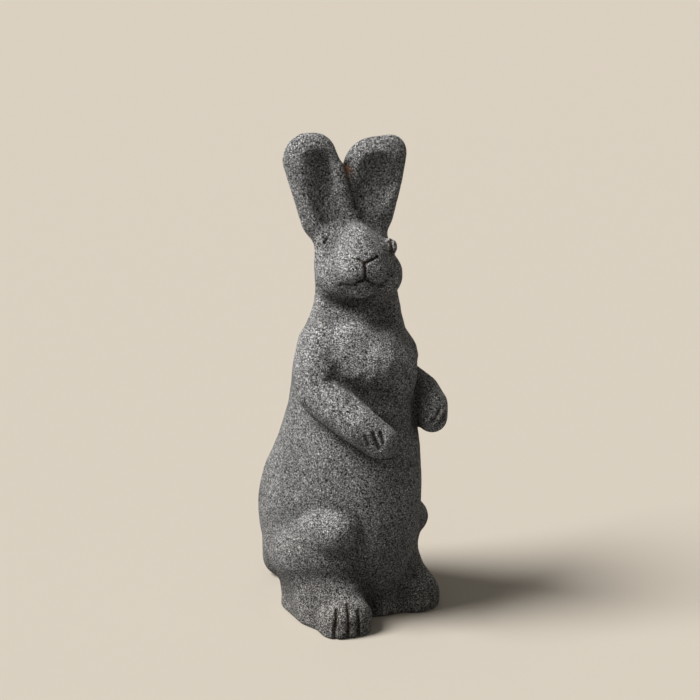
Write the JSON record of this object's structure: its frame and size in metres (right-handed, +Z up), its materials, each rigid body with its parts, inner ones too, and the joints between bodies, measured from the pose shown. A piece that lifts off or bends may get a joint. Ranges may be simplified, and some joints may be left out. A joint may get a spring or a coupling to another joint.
{
  "type": "garden ornament rabbit",
  "caption": "Dark cast-stone garden rabbit standing upright with hollowed ears, folded forepaws and a flat foot, steel rods cast in under the ears.",
  "frame": {"origin": "on the ground plane, in the flat underside, below the middle of the body", "axes": "+Z up, -Y the way the body faces, +X to the rabbit's own left"},
  "size_m": [0.1327, 0.1769, 0.3922],
  "materials": {
    "cast_stone": "rough, sandy dark grey cast stone with fine light and dark grains",
    "rod_steel": "plain hot-rolled bar, dull"
  },
  "bodies": {
    "root": {"stone_casting": "cast_stone", "ear_rod_right": "rod_steel", "ear_rod_left": "rod_steel"}
  },
  "joints": []
}
